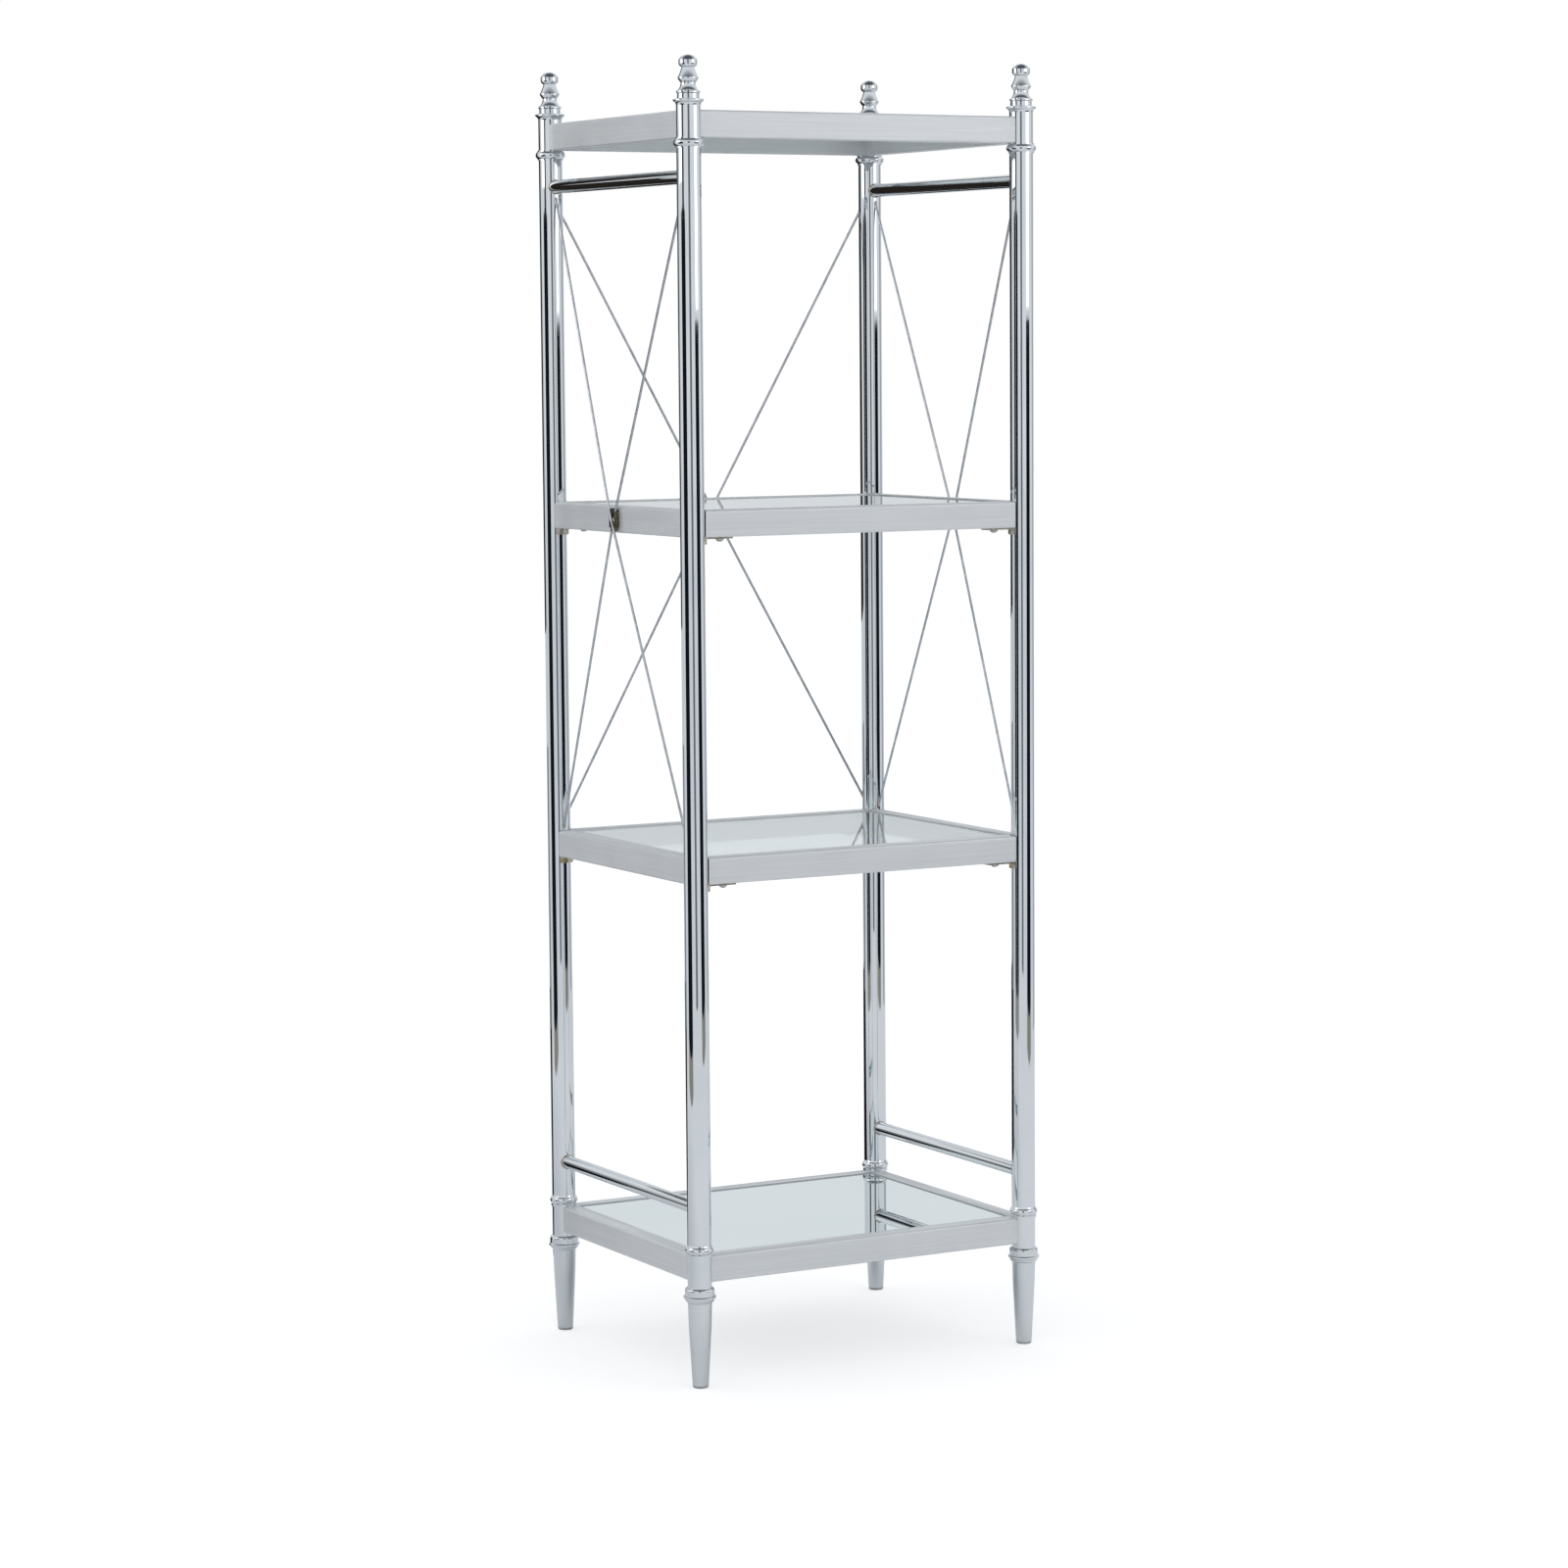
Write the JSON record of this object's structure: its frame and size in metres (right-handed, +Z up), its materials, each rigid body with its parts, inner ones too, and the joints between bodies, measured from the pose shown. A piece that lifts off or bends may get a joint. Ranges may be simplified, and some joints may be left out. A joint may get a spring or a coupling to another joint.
{
  "type": "glass shelving unit",
  "caption": "Tall free-standing etagere of chromed tube posts with turned finials and feet, glass shelves in coped tube frames, side rails and crossed rod braces.",
  "frame": {"origin": "on the floor, under the middle of the four posts", "axes": "+Z up, +X to the right seen from the front, the open front faces -Y"},
  "size_m": [0.4786, 0.3904, 1.524],
  "materials": {
    "polished_chrome": "bright chrome plate, mirror polished",
    "satin_chrome": "chrome plate over drawn tube, slightly hazed along its length",
    "brace_rod": "chrome plated drawn wire rod",
    "clip_steel": "plated pressed steel, dulled",
    "screw_steel": "zinc plated",
    "clear_glass": "clear float glass with polished edges",
    "silvered_glass": "silvered float glass with polished edges",
    "clear_pad": "clear soft button",
    "nylon": "moulded grey nylon"
  },
  "bodies": {
    "frame": {"back_brace_clip": "clip_steel", "back_brace_inner": "brace_rod", "back_brace_outer": "brace_rod", "back_clip_screws": "screw_steel", "base_back_apron": "satin_chrome", "base_collars": "polished_chrome", "base_front_apron": "satin_chrome", "base_left_apron": "satin_chrome", "base_right_apron": "satin_chrome", "finial_back_left": "polished_chrome", "finial_back_right": "polished_chrome", "finial_front_left": "polished_chrome", "finial_front_right": "polished_chrome", "foot_back_left": "polished_chrome", "foot_back_right": "polished_chrome", "foot_collars": "polished_chrome", "foot_front_left": "polished_chrome", "foot_front_right": "polished_chrome", "foot_glides": "nylon", "left_brace_clip": "clip_steel", "left_brace_inner": "brace_rod", "left_brace_outer": "brace_rod", "left_clip_screws": "screw_steel", "left_low_rail": "polished_chrome", "left_top_rail": "polished_chrome", "lower_shelf_back_apron": "satin_chrome", "lower_shelf_brackets": "clip_steel", "lower_shelf_front_apron": "satin_chrome", "lower_shelf_left_apron": "satin_chrome", "lower_shelf_right_apron": "satin_chrome", "lower_shelf_screws": "screw_steel", "pane_pads": "clear_pad", "post_back_left": "polished_chrome", "post_back_right": "polished_chrome", "post_caps": "polished_chrome", "post_front_left": "polished_chrome", "post_front_right": "polished_chrome", "right_brace_clip": "clip_steel", "right_brace_inner": "brace_rod", "right_brace_outer": "brace_rod", "right_clip_screws": "screw_steel", "right_low_rail": "polished_chrome", "right_top_rail": "polished_chrome", "top_back_apron": "satin_chrome", "top_collars": "polished_chrome", "top_front_apron": "satin_chrome", "top_left_apron": "satin_chrome", "top_right_apron": "satin_chrome", "upper_shelf_back_apron": "satin_chrome", "upper_shelf_brackets": "clip_steel", "upper_shelf_front_apron": "satin_chrome", "upper_shelf_left_apron": "satin_chrome", "upper_shelf_right_apron": "satin_chrome", "upper_shelf_screws": "screw_steel"},
    "top_pane": {"top_pane": "clear_glass"},
    "upper_shelf_pane": {"upper_shelf_pane": "clear_glass"},
    "lower_shelf_pane": {"lower_shelf_pane": "clear_glass"},
    "base_mirror_pane": {"base_mirror_pane": "silvered_glass"}
  },
  "joints": [
    {"name": "top_pane_lift", "type": "slide", "parent": "frame", "child": "top_pane", "axis": [0, 0, 1], "range_m": [0, 0.1]},
    {"name": "upper_shelf_pane_lift", "type": "slide", "parent": "frame", "child": "upper_shelf_pane", "axis": [0, 0, 1], "range_m": [0, 0.1]},
    {"name": "lower_shelf_pane_lift", "type": "slide", "parent": "frame", "child": "lower_shelf_pane", "axis": [0, 0, 1], "range_m": [0, 0.1]},
    {"name": "base_mirror_pane_lift", "type": "slide", "parent": "frame", "child": "base_mirror_pane", "axis": [0, 0, 1], "range_m": [0, 0.1]}
  ]
}
